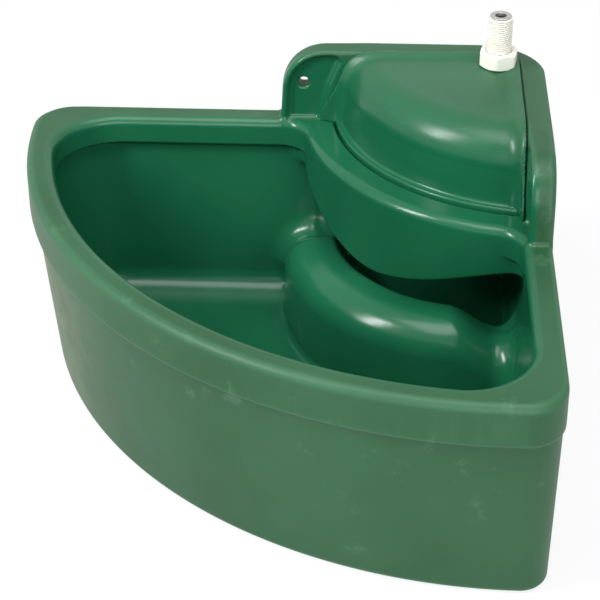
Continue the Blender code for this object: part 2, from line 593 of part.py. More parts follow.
def build_float(pivot, white, brass):
    """The hollow ball, whose bore is the way into it, and the nut that locks it on the arm."""
    def sphere(radius, start, end, count):
        return [(r, ARM_LENGTH + x) for x, r in arc(0, 0, radius, start, end, count)]
    inner = BALL_RADIUS - 2 * MM
    bore, boss, face = 2.8 * MM, 6 * MM, 52 * MM
    profile = [(0, ARM_LENGTH + inner)] + sphere(inner, 0.25, pi - asin(bore / inner), 9)
    profile += [(bore, face), (boss, face)]
    profile += sphere(BALL_RADIUS, pi - asin(boss / BALL_RADIUS), pi / 2 + 0.05, 5)
    seam = BALL_RADIUS + 0.8 * MM
    profile += [(seam, ARM_LENGTH - 1 * MM), (seam, ARM_LENGTH + 1 * MM)]
    profile += sphere(BALL_RADIUS, pi / 2 - 0.05, 0.2, 6) + [(0, ARM_LENGTH + BALL_RADIUS)]
    ball = turned("float_ball", profile, pivot, white, sides=24)
    ball.rotation_euler = (0, pi / 2, 0)
    lock = hexagon_nut("float_lock_nut", bore, 4 * MM, 47.6 * MM, 51.6 * MM, pivot, brass, sides=16)
    lock.rotation_euler = (0, pi / 2, 0)
    bpy.data.objects["float_lock_nut_hexagon"].rotation_euler = (0, pi / 2, 0)


def build_drain(datum, rubber, grey):
    """The bung in the floor, with a pull tab, and the ring that seals it."""
    place = empty("drain_axis", (DRAIN_AT, DRAIN_AT, FLOOR), pi / 4, datum)
    bottom = -RIM_HEIGHT - FLOOR + 1 * MM
    flange = 18.8 * MM
    profile = [(0, bottom), (13.6 * MM, bottom), (14.5 * MM, bottom + 2 * MM), (14.5 * MM, -1.1 * MM),
               (flange, -1.1 * MM), (flange, 1 * MM), (flange - 2 * MM, 2.5 * MM), (0, 2.5 * MM)]
    plug = turned("drain_plug", profile, place, grey, sides=28)
    tab = [(-8 * MM, 1 * MM), (8 * MM, 1 * MM)] + arc(0, 8 * MM, 8 * MM, 0, pi, 11)
    combine(plug, extruded("pull_tab", tab, -2.2 * MM, 2.2 * MM, place), "UNION")
    combine(plug, rod("tab_hole", 3.5 * MM, -5 * MM, 5 * MM, place, at=(0, 8.5 * MM)), "DIFFERENCE")
    ring = [(15 * MM, -3.2 * MM), (18.6 * MM, -3.2 * MM), (18.6 * MM, -1.4 * MM), (15 * MM, -1.4 * MM)]
    turned("drain_seal", ring, place, rubber, sides=28, endless=True)


for old in list(bpy.data.objects):
    bpy.data.objects.remove(old, do_unlink=True)

bowl_green = material("moulded_green", (0.045, 0.22, 0.12), 0.4)
valve_white = material("acetal_white", (0.85, 0.85, 0.80), 0.35)
black_rubber = material("black_rubber", (0.03, 0.03, 0.03), 0.8)
stainless = material("stainless", (0.6, 0.6, 0.6), 0.3, 1.0)
cast_brass = material("brass", (0.7, 0.5, 0.2), 0.35, 1.0)
plug_grey = material("plug_grey", (0.15, 0.16, 0.16), 0.6)

corner = empty("corner_datum", (SIDE / 2, SIDE / 2, RIM_HEIGHT))
build_shell(corner, bowl_green)
build_cover(corner, bowl_green)
valve_axis = empty("valve_axis", (VALVE_AXIS, VALVE_AXIS, 0), pi * 5 / 4, corner)
build_valve(valve_axis, valve_white, black_rubber, stainless)
build_piston(valve_axis, valve_white, black_rubber)
build_pin(valve_axis, stainless)
arm_pivot = empty("arm_pivot", (-PIVOT_BACK, 0, PIVOT_HEIGHT), 0, valve_axis)
arm_pivot.rotation_euler = (0, ARM_DROP, 0)
build_arm(arm_pivot, valve_white, cast_brass)
build_drain(corner, black_rubber, plug_grey)
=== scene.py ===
"""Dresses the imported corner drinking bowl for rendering, piece by piece, in the order that it is put together.

Shapes are worked out in millimetres from the datum, which is the corner of the two walls, level with the
top of the rim: x and y run into the bowl as negative numbers, and z is up. Each finished mesh is in metres
in the model's own frame.
"""

from itertools import product
from math import asin, cos, pi, radians, sin, tau

import bpy
import numpy as np
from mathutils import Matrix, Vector


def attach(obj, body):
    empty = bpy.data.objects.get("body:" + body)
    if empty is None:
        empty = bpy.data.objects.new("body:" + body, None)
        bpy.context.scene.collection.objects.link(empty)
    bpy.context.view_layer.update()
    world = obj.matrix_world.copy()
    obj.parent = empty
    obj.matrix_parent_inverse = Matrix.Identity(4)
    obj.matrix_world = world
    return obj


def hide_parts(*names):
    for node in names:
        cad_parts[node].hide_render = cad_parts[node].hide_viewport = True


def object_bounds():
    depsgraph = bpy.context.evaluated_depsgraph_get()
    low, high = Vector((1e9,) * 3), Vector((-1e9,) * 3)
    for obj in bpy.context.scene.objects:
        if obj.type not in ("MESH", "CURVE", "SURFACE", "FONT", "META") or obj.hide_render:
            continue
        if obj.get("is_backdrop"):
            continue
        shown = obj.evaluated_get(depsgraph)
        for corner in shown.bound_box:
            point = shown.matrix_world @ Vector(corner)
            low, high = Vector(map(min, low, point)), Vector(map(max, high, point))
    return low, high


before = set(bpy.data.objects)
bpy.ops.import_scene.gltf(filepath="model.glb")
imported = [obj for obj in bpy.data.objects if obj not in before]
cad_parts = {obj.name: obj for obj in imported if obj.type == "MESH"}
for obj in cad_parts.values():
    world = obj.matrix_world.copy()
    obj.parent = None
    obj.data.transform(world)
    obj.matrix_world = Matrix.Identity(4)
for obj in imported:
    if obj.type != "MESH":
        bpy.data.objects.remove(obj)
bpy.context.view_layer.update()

# The bowl: one skin of rotationally moulded polyethylene, screwed to the two walls by its wings. The mould
# rounds every edge and hollow, so the form is a field of distances with rounded joins, and its surface is
# laid where the field is zero.
DATUM = np.array([220.0, 220.0, 182.0])
HOME = (np.zeros(3), np.eye(3))       # a place: its origin from the datum, and its three axes as rows
RIM_HEIGHT = 182.0
WALL_GAP = 0.5                        # the collar stands this far behind the wings' faces
ARC_OFFSET, ARC_RADIUS = 37.0, 402.9  # the front's arc: its centre from each wall, and its radius
REAR_RADIUS = 53.0                    # rounding of the vertical corner between the walls
COLLAR_DEPTH = 36.0
FLOOR = -172.0
APRON_RADIUS, CHAMBER_RADIUS = 204.6, 196.6
BIB_END, BIB_DROP = -38.0, 36.0       # the apron's lower edge at its ends, and its drop in the middle
HUMP_CENTRE, HUMP_RADIUS, HUMP_TOP = 55.4, 163.5, -88.0
HUMP_END, SADDLE_END = 78.0, 34.0     # its top dips between these distances from each wall
SADDLE_TOP = -108.0
WELL_RADIUS, WELL_FLOOR = 118.0, -135.0
CHAMBER_WALL = 21.0
BASIN_CORNER = 57.0                   # rounding of the basin's vertical corners
SEAT_RADIUS, SEAT_DEPTH, MOUTH_RADIUS = 178.5, 6.0, 168.0     # the cover's rebate, and the opening below it
WING_THICK, WING_TOP, WING_LENGTH, WING_ROUND = 20.5, 66.0, 224.0, 37.0
POCKET_DEPTH = 5.0
HOLE_ALONG, HOLE_HEIGHT, HOLE_RADIUS = 204.0, 34.0, 4.5
DRAIN_AT, DRAIN_RADIUS = -239.0, 15.0


def rounded(a, b, radius):
    """Where both fields are inside: the larger of them, with the ridge between them turned to a radius."""
    return np.minimum(np.maximum(a, b), -radius) + np.hypot(np.maximum(a + radius, 0), np.maximum(b + radius, 0))


def joined(a, b, radius):
    """Where either field is inside: the smaller of them, with the valley between them filled to a radius."""
    return -rounded(-a, -b, radius)


def quarter(x, y, wall, radius, corner, rear, offset=ARC_OFFSET):
    """Distance to a quarter-round plan: two sides at a distance from the walls, rounded together at the
    rear, and a front arc about a centre off the datum, rounded into both sides."""
    sides = rounded(x + wall, y + wall, rear)
    return rounded(sides, np.hypot(x + offset, y + offset) - radius, corner)


def basin_wall(z):
    """How far the basin's sides stand from the building's walls: leaning, under a lip."""
    return np.interp(z, (-156, -29, -26.5, -24), (26, 16, 19, 23))


def basin_field(x, y, z):
    """The water's space: the walls lean in below a lip, and a sloping strip joins them to the floor."""
    wall = basin_wall(z)
    sides = quarter(x, y, wall, ARC_RADIUS - wall, BASIN_CORNER, BASIN_CORNER)
    strip = 0.56 * sides + 0.83 * (FLOOR - z) + 10
    return rounded(rounded(sides, FLOOR - z, 1), strip, 7)


def body_field(x, y, z):
    """The outside: a collar under a rounded rim, and below it the body, tapered and less bowed to its base."""
    sides = rounded(x + WALL_GAP, y + WALL_GAP, REAR_RADIUS)
    front = np.hypot(x + ARC_OFFSET, y + ARC_OFFSET) - ARC_RADIUS
    edge = np.interp(front - sides, (-40, 0), (3, 7))
    collar = rounded(rounded(rounded(sides, front, 30), z, edge), -COLLAR_DEPTH - z, 2)
    up = (-182, -38)
    lower = quarter(x, y, np.interp(z, up, (4, 2)), np.interp(z, up, (401, 398.5)), np.interp(z, up, (22.5, 27.7)),
                    REAR_RADIUS - 3, np.interp(z, up, (24, 37)))
    lower = rounded(rounded(lower, -RIM_HEIGHT - z, 5), z + 20, 2)
    return joined(collar, lower, 2.5)


def hump_field(x, y, z):
    """The ridge between basin and float chamber: a round-shouldered hump whose top dips to a lower saddle
    by each wall."""
    front = np.hypot(x + HUMP_CENTRE, y + HUMP_CENTRE) - HUMP_RADIUS
    share = np.clip((HUMP_END + np.maximum(x, y)) / (HUMP_END - SADDLE_END), 0, 1)
    top = HUMP_TOP + (SADDLE_TOP - HUMP_TOP) * share ** 2 * (3 - 2 * share)
    return rounded(rounded(front, z - top, 30), rounded(x + 10, y + 10, 40), 2)


def inner_field(x, y, z):
    """Everything round the water: walls, apron and ridge, less the float's chamber and its well."""
    reach = np.hypot(x, y)
    turn = np.arctan2(-y, -x)
    hang = BIB_END - BIB_DROP * np.sin(2 * turn) ** 2
    apron = rounded(reach - APRON_RADIUS, hang - z, 3.5)
    form = joined(-basin_field(x, y, z), apron, np.interp(z, (-60, -24), (8, 20)))
    wall = np.maximum(basin_wall(z) + 0.2, np.interp(z, (-34, -20), (17, 21)))
    chamber = quarter(x, y, wall, CHAMBER_RADIUS, 8, np.interp(z, (-60, -20, -14), (34, 24, 12)), 0)
    chamber = rounded(rounded(chamber, -150 - z, 3), z + 14, 4)
    form = rounded(form, -chamber, 2.5)
    form = joined(form, hump_field(x, y, z), np.interp(z, (-162, -140), (7, 20)))
    well = rounded(quarter(x, y, basin_wall(z) + 1.5, WELL_RADIUS, 8, 32, HUMP_CENTRE), z - HUMP_TOP - 10, 0)
    return rounded(form, -rounded(well, WELL_FLOOR - z, 4), 6)


def hollow_field(x, y, z):
    """The underside's hollow, below the ridge and round the well's tub."""
    hollow = quarter(x, y, np.interp(z, (-182, -138), (14, 11)), HUMP_RADIUS - 11, 16, 41, HUMP_CENTRE)
    tub = rounded(quarter(x, y, 7, WELL_RADIUS + 7, 12, 46, HUMP_CENTRE), WELL_FLOOR - 7 - z, 5)
    return rounded(rounded(hollow, z + 119, 19), -tub, 5)


def wing_field(x, y, z):
    """Both wings as one band round the corner, with rounded ends, less the shallow pocket round each hole."""
    along, deep = -np.minimum(x, y), np.maximum(x, y)
    band = np.maximum(rounded(x, y, REAR_RADIUS), -rounded(x + WING_THICK, y + WING_THICK, 12))
    edge = np.interp(along, (150, 190), (2, 5))
    end = along + np.interp(z, (0, 40), (0, 2)) - WING_LENGTH
    wing = rounded(band, rounded(end, z - WING_TOP, WING_ROUND), edge)
    wing = rounded(wing, -14 - z, 2)
    pocket = rounded(rounded(end + 5, z - WING_TOP + 5, 32), -4 - z, 4)
    pocket = rounded(pocket, np.interp(z, (2, 34, 57), (190, 182, 173)) - along, 6)
    return rounded(wing, -rounded(pocket, deep + WING_THICK - POCKET_DEPTH, 5), 3)


def shell_field(x, y, z):
    """The whole moulding: the body hollowed by its basin and chamber, with its wings, ledges and holes."""
    form = rounded(body_field(x, y, z), inner_field(x, y, z), 8)
    mouth = rounded(quarter(x, y, CHAMBER_WALL + 1, MOUTH_RADIUS, 6, 12, 0), -20 - z, 0)
    seat = rounded(quarter(x, y, CHAMBER_WALL, SEAT_RADIUS, 6, 12, 0), -SEAT_DEPTH - z, 1)
    form = rounded(rounded(form, -mouth, 2), -seat, 2.5)
    form = rounded(form, -hollow_field(x, y, z), 2.5)
    form = joined(form, wing_field(x, y, z), 4)
    along, deep = -np.minimum(x, y), np.maximum(x, y)
    ledge = rounded(rounded(np.abs(along - 98) - 30, np.abs(deep + 20) - 6.5, 2), np.abs(z - 55.5) - 4.5, 2)
    form = joined(form, ledge, 2)
    spot = np.hypot(along - HOLE_ALONG, z - HOLE_HEIGHT) - HOLE_RADIUS
    form = rounded(form, -np.maximum(spot, -30 - deep), np.interp(deep, (-13, -8), (2.5, 0.2)))
    drain = np.hypot(x - DRAIN_AT, y - DRAIN_AT)
    form = rounded(form, -np.maximum(drain - DRAIN_RADIUS, z - FLOOR - 12), 1)
    form = rounded(form, -rounded(drain - DRAIN_RADIUS - 4.6, FLOOR - 3.5 - z, 1), 1.5)
    return np.maximum(form, rounded(x, y, REAR_RADIUS))


def slope(field, points, step=0.02):
    """The field's gradient, from its difference across a short step along each axis."""
    return np.stack([(field(*(points + side).T) - field(*(points - side).T)) / (2 * step)
                     for side in step * np.eye(3)], 1)


def settle(field, points, rounds, reach=1.5):
    """Moves points down the field's gradient to where it is zero, no further than a reach a round."""
    for _ in range(rounds):
        lean = slope(field, points)
        move = -field(*points.T)[:, None] * lean / np.maximum((lean ** 2).sum(1), 0.05)[:, None]
        far = np.maximum(np.linalg.norm(move, axis=1, keepdims=True) / reach, 1)
        points = points + move / far
    return points


def net(field, low, high, cell):
    """Points and quads on the field's zero level: a point in each grid cell that it crosses, at the mean of
    the crossings on the cell's edges, and a quad round each grid edge that it crosses."""
    cell = np.broadcast_to(cell, 3)
    axes = [np.arange(a, b + size, size) for a, b, size in zip(low, high, cell)]
    grid = field(*(axis.astype(np.float32) for axis in np.meshgrid(*axes, indexing="ij")))
    solid = grid < 0
    corners = np.array(list(product((0, 1), repeat=3)))
    sizes = np.array(grid.shape) - 1
    inside = sum(solid[tuple(slice(c, c + n) for c, n in zip(corner, sizes))].astype(np.int8) for corner in corners)
    crossed = (inside > 0) & (inside < 8)
    cells = np.argwhere(crossed)
    number = np.zeros(crossed.shape, np.int64)
    number[crossed] = np.arange(len(cells))
    values = np.stack([grid[tuple((cells + corner).T)] for corner in corners], 1)
    total, hits = np.zeros((len(cells), 3)), np.zeros(len(cells))
    for a, b in product(range(8), repeat=2):
        if a < b and np.abs(corners[a] - corners[b]).sum() == 1:
            cut = (values[:, a] < 0) != (values[:, b] < 0)
            share = values[:, a] / np.where(cut, values[:, a] - values[:, b], 1)
            total += cut[:, None] * (corners[a] + share[:, None] * (corners[b] - corners[a]))
            hits += cut
    points = np.array(low) + cell * (cells + total / hits[:, None])
    quads = []
    for axis in range(3):
        step, first, second = np.roll(np.eye(3, dtype=int), axis, axis=0)
        here = solid[tuple(slice(0, n) for n in sizes)]
        there = solid[tuple(slice(s, n + s) for n, s in zip(sizes, step))]
        edges = np.argwhere(here != there)
        edges = edges[(edges @ (first + second) > 0) & (edges @ first > 0) & (edges @ second > 0)]
        round_edge = [number[tuple((edges - back).T)] for back in (first + second, second, 0 * step, first)]
        faces = np.stack(round_edge, 1)
        outward = here[tuple(edges.T)]
        quads.append(np.where(outward[:, None], faces, faces[:, ::-1]))
    return points, np.concatenate(quads)


def relaxed(field, points, faces, rounds):
    """Evens out the points: each goes part of the way to its neighbours' mean, then back on to the surface."""
    pairs = np.concatenate([faces[:, [side, (side + 1) % faces.shape[1]]] for side in range(faces.shape[1])])
    count = np.bincount(pairs[:, 0], minlength=len(points))
    for _ in range(rounds):
        mean = np.stack([np.bincount(pairs[:, 0], points[pairs[:, 1], k], len(points)) for k in range(3)], 1)
        points = settle(field, points + 0.5 * (mean / count[:, None] - points), 1)
    return points


def placed(points, place):
    """Local millimetres turned to the model's metres."""
    origin, rows = place
    return (points @ rows + origin + DATUM) / 1000


def mesh_of(name, points, faces, place=HOME):
    """A smooth mesh object at the origin, from local points in millimetres."""
    mesh = bpy.data.meshes.new(name)
    mesh.from_pydata(placed(points, place).tolist(), [], [list(face) for face in faces])
    mesh.shade_smooth()
    made = bpy.data.objects.new(name, mesh)
    bpy.context.collection.objects.link(made)
    return made


def thinned(made, most):
    """The same object with no more triangles than the most, fewest where it is flat."""
    triangles = sum(len(face.vertices) - 2 for face in made.data.polygons)
    if triangles > most:
        modifier = made.modifiers.new("thin", "DECIMATE")
        modifier.ratio = most / triangles
        shape = made.evaluated_get(bpy.context.evaluated_depsgraph_get())
        mesh = bpy.data.meshes.new_from_object(shape)
        made.modifiers.clear()
        made.data = mesh
    return made


def moulded(name, field, low, high, cell, most, place=HOME):
    """A moulding whose skin lies on a field's zero level, with its normals read from the field, and its local
    points. Its attribute crest is the surface's bend: above a half on a ridge, below it in a hollow."""
    points, faces = net(field, low, high, cell)
    points = relaxed(field, settle(field, points, 3), faces, 4)
    made = thinned(mesh_of(name, points, faces, place), most)
    mesh = made.data
    points = np.empty(len(mesh.vertices) * 3)
    mesh.vertices.foreach_get("co", points)
    points = (points.reshape(-1, 3) * 1000 - DATUM - place[0]) @ place[1].T
    points = settle(field, points, 3, 0.5)
    mesh.vertices.foreach_set("co", placed(points, place).ravel())
    lean = slope(field, points)
    mesh.shade_smooth()
    lean = lean / np.maximum(np.linalg.norm(lean, axis=1, keepdims=True), 1e-9)
    mesh.normals_split_custom_set_from_vertices(lean @ place[1])
    step = min(2.5, 2 * np.max(cell))
    bend = sum(field(*(points + side).T) + field(*(points - side).T) for side in step * np.eye(3)) / step
    crest = mesh.attributes.new("crest", "FLOAT", "POINT")
    crest.data.foreach_set("value", np.clip(0.5 + 0.8 * bend, 0, 1))
    return made, points


shell, shell_points = moulded("bowl_moulding", shell_field, (-444, -444, -186), (4, 4, 70),
                              2.0, 190000)
deep, height = shell_points[:, :2].max(1), shell_points[:, 2]
# The attribute inside gives the basin's faces and the wings' inner faces the glossy inner green. Everything else
# gets the greyer outer green, which paints the sheen of the bright surroundings.
in_basin = np.clip(1 - basin_field(*shell_points.T) / 9, 0, 1) * (height < 4)
on_wing = np.clip(-deep - 14, 0, 1) * np.clip((WING_TOP - 4 - height) / 6, 0, 1) * (height > 1)
inside = shell.data.attributes.new("inside", "FLOAT", "POINT")
inside.data.foreach_set("value", np.maximum(in_basin, on_wing))


class Wire:
    """A node's output. Arithmetic on it adds Math nodes, so that masks are written as plain expressions."""

    def __init__(self, finish, socket):
        self.finish, self.socket = finish, socket

    def maths(self, operation, *values, clamp=False):
        settings = {"operation": operation, "use_clamp": clamp}
        return self.finish.node("ShaderNodeMath", settings, dict(enumerate(values)))

    def __add__(self, other):
        return self.maths("ADD", self, other)

    def __sub__(self, other):
        return self.maths("SUBTRACT", self, other)

    def __rsub__(self, other):
        return self.maths("SUBTRACT", other, self)

    def __mul__(self, other):
        return self.maths("MULTIPLY", self, other)

    __radd__, __rmul__ = __add__, __mul__

    def ramp(self, low, high):
        """0 below low and 1 above high, eased between them."""
        settings = {"interpolation_type": "SMOOTHSTEP"}
        return self.finish.node("ShaderNodeMapRange", settings, {"Value": self, "From Min": low, "From Max": high})


class Nodes:
    """The nodes of a material or a world."""

    def __init__(self, owner):
        owner.use_nodes = True
        self.tree = owner.node_tree

    def feed(self, node, sockets):
        for key, value in sockets.items():
            if isinstance(value, Wire):
                self.tree.links.new(value.socket, node.inputs[key])
            else:
                node.inputs[key].default_value = value

    def node(self, kind, settings=None, sockets=None, output=0):
        made = self.tree.nodes.new(kind)
        for key, value in (settings or {}).items():
            setattr(made, key, value)
        self.feed(made, sockets or {})
        return Wire(self, made.outputs[output])


class Finish(Nodes):
    """One material's nodes round its Principled shader."""

    def __init__(self, name, **plain):
        self.material = bpy.data.materials.new(name)
        super().__init__(self.material)
        self.shader = self.tree.nodes["Principled BSDF"]
        self.feed(self.shader, {socket.replace("_", " "): value for socket, value in plain.items()})

    def place(self):
        """Object coordinates."""
        return self.node("ShaderNodeTexCoord", output=3)

    def split(self, vector):
        """The three parts of a vector."""
        parts = self.node("ShaderNodeSeparateXYZ", None, {0: vector})
        return [Wire(self, output) for output in parts.socket.node.outputs]

    def attribute(self, name):
        return self.node("ShaderNodeAttribute", {"attribute_name": name}, output=2)

    def noise(self, scale, detail=3.0, roughness=0.55, vector=None):
        sockets = {"Vector": vector or self.place(), "Scale": scale, "Detail": detail, "Roughness": roughness}
        return self.node("ShaderNodeTexNoise", None, sockets)

    def mix(self, factor, first, second):
        """From one colour to another."""
        colours = {0: factor, 6: first, 7: second}
        return self.node("ShaderNodeMix", {"data_type": "RGBA"}, colours, output=2)

    def bump(self, height, distance):
        return self.node("ShaderNodeBump", None, {"Height": height, "Distance": distance})


def fitted(made, body, node, material):
    """Gives a piece its finish, and puts it on its body in place of its plain solid."""
    made.data.materials.append(material)
    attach(made, body)
    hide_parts(node)


def moulded_green():
    """Plastic coloured through: glossy where the attribute inside is 1, and satin outside, where handling has
    dulled it and sunlight has bleached the low left of the front towards tan. Outside, the green is also
    duller and greyer than inside: a painted sheen of the bright surroundings."""
    finish = Finish("moulded_green_finish", Specular_IOR_Level=0.32)
    along, _, height = finish.split(finish.place())
    within, crest = finish.attribute("inside"), finish.attribute("crest")
    cloud, mottle, grain = finish.noise(7, 4), finish.noise(45, 5), finish.noise(900, 2)
    scuffs = finish.noise(26, 9, 0.75).ramp(0.56, 0.7) * (1 - within)
    # Partly painted light: the outer green is greyer than the inner to paint the sheen of the bright surroundings
    # on outer and upward faces.
    outer = finish.mix(cloud.ramp(0.3, 0.7), (0.012, 0.067, 0.024, 1), (0.019, 0.087, 0.035, 1))
    inner = finish.mix(cloud.ramp(0.3, 0.7), (0.007, 0.1, 0.044, 1), (0.011, 0.122, 0.056, 1))
    colour = finish.mix(within, outer, inner)
    ridge = crest.ramp(0.55, 0.85) * 0.15 * (1 - within)
    colour = finish.mix(ridge, colour, (0.075, 0.22, 0.13, 1))
    bleached = (1 - along.ramp(-0.225, -0.12)) * (1 - height.ramp(0.11, 0.17))
    bleached = bleached * mottle.ramp(0.3, 0.65) * (1 - within)
    colour = finish.mix(bleached * 0.7, colour, (0.17, 0.19, 0.09, 1))
    colour = finish.mix(scuffs * 0.25, colour, (0.12, 0.24, 0.15, 1))
    rough = 0.47 - within * 0.26 + (mottle - 0.5) * 0.08 + scuffs * 0.12
    relief = finish.bump(mottle * 0.6 + grain * 0.12, 0.00016)
    finish.feed(finish.shader, {"Base Color": colour, "Roughness": rough, "Normal": relief})
    return finish.material


green = moulded_green()
fitted(shell, "bowl", "bowl_shell", green)


# The cover over the float chamber: a quarter of a round bun in the same plastic. Its foot drops into a
# rebate behind the curved rim, its two sides flare into thin flanges along the wings, and it lifts off.
COVER_WALL, COVER_FOOT, COVER_SKIN = 21.2, 177.5, 4.5
COVER_SHOULDER, COVER_CROWN = 31.0, 1.2
COVER_FLANGE, COVER_FLARE = 2.2, 13.0
TAIL_HOLE = 11.2
VALVE_AXIS = -39.0


def dome_field(x, y, z, inset=0.0):
    """The bun's outline: a leaning flank, a round shoulder and a low crown."""
    reach = np.hypot(x, y)
    flank = reach - np.interp(z, (-6, 34), (173.5, 169.4)) + inset
    crown = z + inset - (WING_TOP - COVER_CROWN * np.clip((reach - 60) / 80, 0, 1) ** 2)
    return rounded(flank, crown, COVER_SHOULDER - inset)


def cover_field(x, y, z):
    """The bun and its flanges, hollowed to its skin, with its bead at the foot and its hole for the inlet."""
    deep = np.maximum(x, y)
    dome = dome_field(x, y, z)
    margin = np.interp(z, (8, 20, 29, 38, 47, 57), (19, 14.4, 9.7, 5.5, 4.2, 5.5))
    flange = rounded(-(deep + COVER_WALL + COVER_FLANGE), rounded(dome - margin, z - WING_TOP, 5), 1)
    flared = rounded(joined(dome, flange, COVER_FLARE), 0.6 - z, 1)
    bead = rounded(np.hypot(x, y) - COVER_FOOT, np.abs(z + 1.15) - 4.55, 1.6)
    outer = np.minimum(joined(dome, bead, 2.5), flared)
    outer = rounded(outer, rounded(x + COVER_WALL, y + COVER_WALL, 12), 1)
    outer = rounded(rounded(outer, -dome_field(x, y, z, COVER_SKIN), 1), 0.3 - SEAT_DEPTH - z, 1)
    return rounded(outer, TAIL_HOLE - np.hypot(x - VALVE_AXIS, y - VALVE_AXIS), 0.8)


cover, cover_points = moulded("valve_cover_moulding", cover_field, (-204, -204, -10), (-16, -16, 70),
                              1.5, 150000)
inside = cover.data.attributes.new("inside", "FLOAT", "POINT")
# The inside share falls towards the crown, so the top takes the greyer outer green, a painted sheen from the light
# above. The lower flank keeps the glossy inner green.
inside.data.foreach_set("value", np.clip(1.9 - cover_points[:, 2] / 43, 0.2, 1))
fitted(cover, "cover", "valve_cover", green)


# The valve's body: white acetal, turned and milled. Its threaded tail stands up through the cover, its
# shoulder bears on the cover from below, and two ears on its head carry the float arm.
PIPE_RADIUS, PIPE_PITCH, PIPE_DEPTH = 10.48, 1.814, 1.162    # half-inch pipe thread
TAIL_TOP, SHOULDER_TOP, SHOULDER_RADIUS = 110.0, 58.6, 16.0
HEAD_RADIUS, HEAD_BOTTOM, CYLINDER_RADIUS, CYLINDER_TOP, TAIL_BORE = 13.0, 4.0, 8.0, 34.0, 6.0
PIVOT = np.array([-10.0, 0.0, -5.0])
PIN_HOLE = 2.3
HALF = 0.5 ** 0.5
VALVE = (np.array([VALVE_AXIS, VALVE_AXIS, 0.0]), np.array([[-HALF, -HALF, 0], [HALF, -HALF, 0], [0, 0, 1]]))


def screw(radius, pitch, depth, x, y, z):
    """A screw's radius at a point: its crest, less a flat-topped wave that climbs a pitch a turn."""
    phase = (z - pitch * np.arctan2(y, x) / tau) / pitch
    return radius - depth * np.clip(2.6 * np.abs(phase - np.round(phase)) - 0.15, 0, 1)


def pipe_thread(x, y, z):
    """The tail's threaded radius, plain again by its shoulder and at its top."""
    fade = np.clip(np.minimum(z - 60, TAIL_TOP + 0.4 - z) / 1.6, 0, 1)
    return PIPE_RADIUS + fade * screw(0, PIPE_PITCH, PIPE_DEPTH, x, y, z)


def valve_field(x, y, z):
    """Tail, shoulder, head and ears, less the bores, the pin's hole and the water windows."""
    reach = np.hypot(x, y)
    tail = rounded(rounded(0.7 * (reach - pipe_thread(x, y, z)), z - TAIL_TOP, 0.9), 50 - z, 0.2)
    shoulder = rounded(reach - SHOULDER_RADIUS, np.abs(z - SHOULDER_TOP + 2) - 2, 0.7)
    head = reach - np.interp(z, (SHOULDER_TOP - 6, SHOULDER_TOP - 4), (HEAD_RADIUS, SHOULDER_RADIUS))
    head = rounded(head, np.abs(z - 29.3) - 29.3 + HEAD_BOTTOM, 0.9)
    form = joined(joined(shoulder, head, 0.6), tail, 0.7)
    ear = np.hypot(x - PIVOT[0], np.minimum(z - PIVOT[2], 0)) - 4
    ear = rounded(ear, np.abs(np.abs(y) - 6.35) - 1.35, 0.5)
    ear = np.maximum(np.maximum(ear, z - 9), np.minimum(z, x + 7))
    form = joined(form, ear, 0.5)
    cylinder = np.maximum(np.maximum(reach - CYLINDER_RADIUS, z - CYLINDER_TOP), 2 - z)
    form = rounded(form, -np.minimum(cylinder, np.maximum(reach - TAIL_BORE, 30 - z)), 0.6)
    form = rounded(form, PIN_HOLE - np.hypot(x - PIVOT[0], z - PIVOT[2]), 0.3)
    return rounded(form, -rounded(np.abs(x - 3) - 4, np.abs(z - 14) - 5, 1), 0.5)


def aged_white(name, warm, hollow_darkening):
    """Moulded white plastic: slightly yellowed, and darker in patches in its hollows."""
    finish = Finish(name)
    cloud, mottle, grain = finish.noise(60, 3), finish.noise(420, 5), finish.noise(2600, 2)
    hollow = (1 - finish.attribute("crest").ramp(0.3, 0.52)) * mottle.ramp(0.25, 0.7)
    colour = finish.mix(cloud.ramp(0.3, 0.7), (0.82, 0.83, 0.76, 1), warm)
    colour = finish.mix(hollow * hollow_darkening, colour, (0.3, 0.31, 0.24, 1))
    finish.feed(finish.shader, {"Base Color": colour, "Roughness": 0.3 + mottle * 0.14,
                                "Normal": finish.bump(mottle * 0.5 + grain * 0.2, 0.00006)})
    return finish.material


valve_white = aged_white("acetal_white_finish", (0.74, 0.73, 0.62, 1), 0.3)
valve_body, _ = moulded("valve_body_turned", valve_field, (-17, -17, -10), (17, 17, 111),
                        ((0.7, 0.7, 0.3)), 120000, VALVE)
fitted(valve_body, "cover", "valve_body", valve_white)


# The back nut: white nylon, a hexagon with both ends chamfered. It screws down the tail's thread and clamps
# the cover on the valve's shoulder, and its own thread follows the tail's at a small clearance.
NUT_FLAT, NUT_LOW, NUT_HIGH, NUT_PHASE = 15.0, 66.3, 80.0, radians(65)


def hexagon(x, y, z, flat, low, high, phase):
    """A hexagonal bar between two heights, with its corners turned down to a chamfer at both ends."""
    turns = (phase, phase + pi / 3, phase - pi / 3)
    sides = np.max([np.abs(x * cos(turn) + y * sin(turn)) for turn in turns], axis=0) - flat
    end = np.abs(z - (low + high) / 2) - (high - low) / 2
    bar = rounded(rounded(sides, end, 0.04 * flat), np.hypot(x, y) - 1.13 * flat, 0.06 * flat)
    chamfer = 0.58 * (np.hypot(x, y) - 0.97 * flat) + 0.81 * end
    return rounded(bar, chamfer, 0.04 * flat)


def nut_field(x, y, z):
    """The hexagon, less its threaded bore and a countersink at each end."""
    reach = np.hypot(x, y)
    sink = 0.7 * (reach - 11.9 + 1.2 * np.minimum(np.minimum(z - NUT_LOW, NUT_HIGH - z), 3))
    bore = np.minimum(0.7 * (reach - pipe_thread(x, y, z) - 0.3), sink)
    return rounded(hexagon(x, y, z, NUT_FLAT, NUT_LOW, NUT_HIGH, NUT_PHASE), -bore, 0.3)


